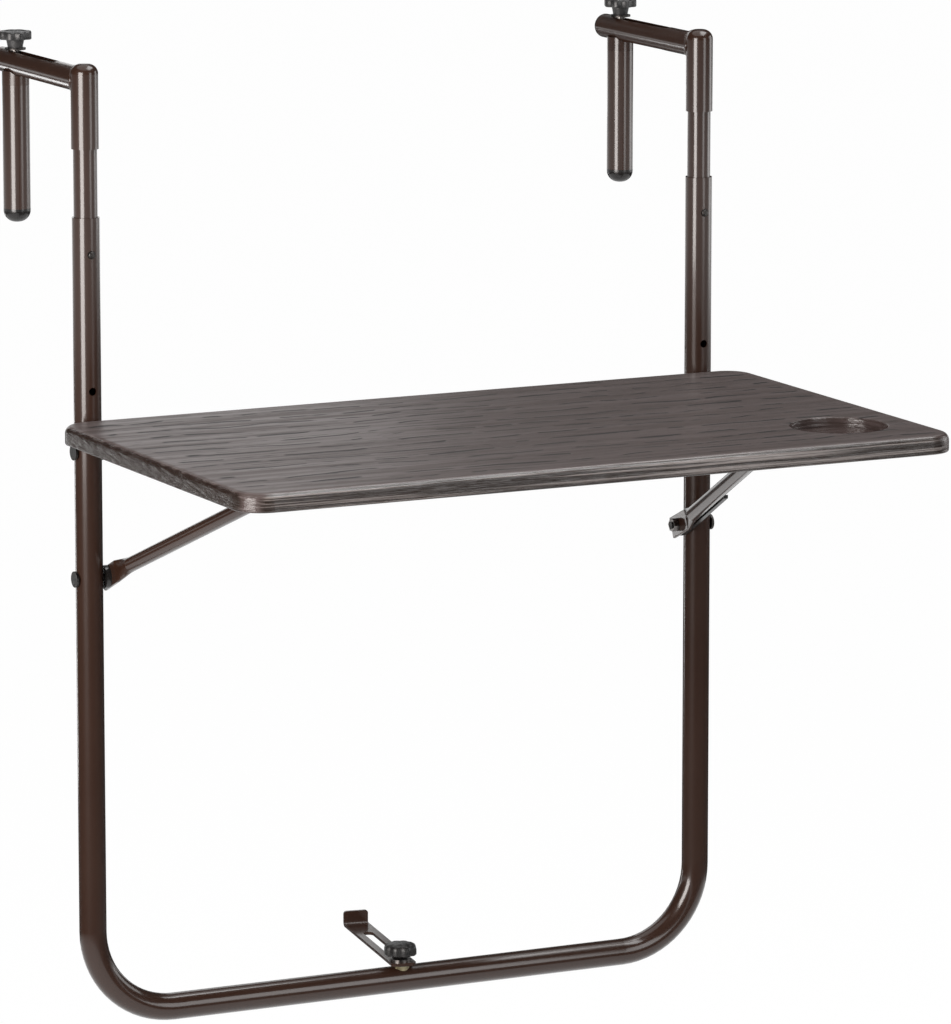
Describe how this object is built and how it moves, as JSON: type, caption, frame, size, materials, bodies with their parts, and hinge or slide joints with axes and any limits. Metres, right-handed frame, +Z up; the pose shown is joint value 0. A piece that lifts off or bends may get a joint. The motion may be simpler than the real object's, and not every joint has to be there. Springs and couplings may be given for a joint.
{
  "type": "folding balcony table",
  "caption": "Folding table hung on a balcony railing by two clamp hooks, with a bent tube frame, a moulded top with a cup recess, a swing-down support bail and an adjustable lower spacer.",
  "frame": {"origin": "midway between the posts on the line of their axes, level with the underside of the two arms that lie on the handrail", "axes": "+X to the table's right seen by a person sitting at it and facing the railing, +Y towards the railing, +Z up"},
  "size_m": [0.616, 0.546, 0.7958],
  "materials": {
    "frame_paint": "glossy dark brown powder coat",
    "table_plastic": "satin grey-brown plastic embossed with wood grain",
    "black_plastic": "black moulded plastic",
    "bolt_steel": "plated steel"
  },
  "bodies": {
    "frame": {"main_frame": "frame_paint", "rivet_nut": "bolt_steel", "left_hinge_bolt": "bolt_steel", "left_hinge_nut": "bolt_steel", "left_bail_bolt": "bolt_steel", "left_bail_nut": "bolt_steel", "right_hinge_bolt": "bolt_steel", "right_hinge_nut": "bolt_steel", "right_bail_bolt": "bolt_steel", "right_bail_nut": "bolt_steel"},
    "left_hook": {"left_hook_post": "frame_paint", "left_hook_arm": "frame_paint", "left_hook_weld": "frame_paint", "left_inner_tube": "frame_paint", "left_arm_plug": "black_plastic", "left_snap_spring": "bolt_steel"},
    "left_button": {"left_snap_button": "bolt_steel"},
    "left_leg": {"left_clamp_leg": "frame_paint", "left_leg_saddle": "black_plastic", "left_leg_cap": "black_plastic", "left_clamp_nut": "bolt_steel"},
    "left_lift": {"left_clamp_washer": "bolt_steel"},
    "left_knob": {"left_clamp_knob": "black_plastic", "left_clamp_screw": "bolt_steel"},
    "right_hook": {"right_hook_post": "frame_paint", "right_hook_arm": "frame_paint", "right_hook_weld": "frame_paint", "right_inner_tube": "frame_paint", "right_arm_plug": "black_plastic", "right_snap_spring": "bolt_steel"},
    "right_button": {"right_snap_button": "bolt_steel"},
    "right_leg": {"right_clamp_leg": "frame_paint", "right_leg_saddle": "black_plastic", "right_leg_cap": "black_plastic", "right_clamp_nut": "bolt_steel"},
    "right_lift": {"right_clamp_washer": "bolt_steel"},
    "right_knob": {"right_clamp_knob": "black_plastic", "right_clamp_screw": "bolt_steel"},
    "table": {"table_top": "table_plastic", "left_hinge_bracket": "frame_paint", "right_hinge_bracket": "frame_paint", "bracket_screws": "bolt_steel", "left_bail_catch": "black_plastic", "right_bail_catch": "black_plastic", "catch_screws": "bolt_steel"},
    "bail": {"support_bail": "frame_paint", "left_bail_spacer": "black_plastic", "right_bail_spacer": "black_plastic"},
    "spacer_turn": {"spacer_seat": "bolt_steel"},
    "spacer": {"spacer_strap": "frame_paint"},
    "spacer_lift": {"spacer_washer": "bolt_steel"},
    "spacer_hand": {"spacer_knob": "black_plastic", "spacer_screw": "bolt_steel"}
  },
  "joints": [
    {"name": "left_hook_slide", "type": "slide", "parent": "frame", "child": "left_hook", "axis": [0, 0, 1], "range_m": [-0.05, 0], "deforming": ["left_snap_button", "left_snap_spring"]},
    {"name": "left_button_press", "type": "slide", "parent": "left_hook", "child": "left_button", "axis": [0, 1, 0], "range_m": [0, 0.0045], "stiffness_N_per_m": 900, "springref_m": -0.004, "deforming": ["left_snap_spring"]},
    {"name": "left_leg_slide", "type": "slide", "parent": "left_hook", "child": "left_leg", "axis": [0, -1, 0], "range_m": [0, 0.085]},
    {"name": "left_knob_lift", "type": "slide", "parent": "left_leg", "child": "left_lift", "axis": [0, 0, 1], "range_m": [0, 0.00375]},
    {"name": "left_knob_turn", "type": "hinge", "parent": "left_lift", "child": "left_knob", "pos_m": [-0.275, 0.141, 0.02], "axis": [0, 0, 1], "range_deg": [0, 1080.1]},
    {"name": "right_hook_slide", "type": "slide", "parent": "frame", "child": "right_hook", "axis": [0, 0, 1], "range_m": [-0.05, 0], "deforming": ["right_snap_button", "right_snap_spring"]},
    {"name": "right_button_press", "type": "slide", "parent": "right_hook", "child": "right_button", "axis": [0, 1, 0], "range_m": [0, 0.0045], "stiffness_N_per_m": 900, "springref_m": -0.004, "deforming": ["right_snap_spring"]},
    {"name": "right_leg_slide", "type": "slide", "parent": "right_hook", "child": "right_leg", "axis": [0, -1, 0], "range_m": [0, 0.085]},
    {"name": "right_knob_lift", "type": "slide", "parent": "right_leg", "child": "right_lift", "axis": [0, 0, 1], "range_m": [0, 0.00375]},
    {"name": "right_knob_turn", "type": "hinge", "parent": "right_lift", "child": "right_knob", "pos_m": [0.275, 0.141, 0.02], "axis": [0, 0, 1], "range_deg": [0, 1080.1]},
    {"name": "table_fold", "type": "hinge", "parent": "frame", "child": "table", "pos_m": [0, 0, -0.2865], "axis": [1, 0, 0], "range_deg": [0, 90]},
    {"name": "bail_fold", "type": "hinge", "parent": "frame", "child": "bail", "pos_m": [0, 0, -0.3895], "axis": [1, 0, 0], "range_deg": [0, 114.15]},
    {"name": "spacer_swivel", "type": "hinge", "parent": "frame", "child": "spacer_turn", "pos_m": [0, 0, -0.7361], "axis": [0, 0, 1], "range_deg": [-25, 25]},
    {"name": "spacer_slide", "type": "slide", "parent": "spacer_turn", "child": "spacer", "axis": [-0.165, -0.9863, 0], "range_m": [0, 0.09]},
    {"name": "spacer_lift", "type": "slide", "parent": "frame", "child": "spacer_lift", "axis": [0, 0, 1], "range_m": [0, 0.00375]},
    {"name": "spacer_knob_turn", "type": "hinge", "parent": "spacer_lift", "child": "spacer_hand", "pos_m": [0, 0, -0.73], "axis": [0, 0, 1], "range_deg": [0, 1080.1]}
  ],
  "couplings": [
    {"joint": "left_knob_turn", "follows": "left_knob_lift", "rad_per_m": 5026.5},
    {"joint": "right_knob_turn", "follows": "right_knob_lift", "rad_per_m": 5026.5},
    {"joint": "bail_fold", "follows": "table_fold", "ratio": 1.2683},
    {"joint": "spacer_knob_turn", "follows": "spacer_lift", "rad_per_m": 5026.5}
  ]
}
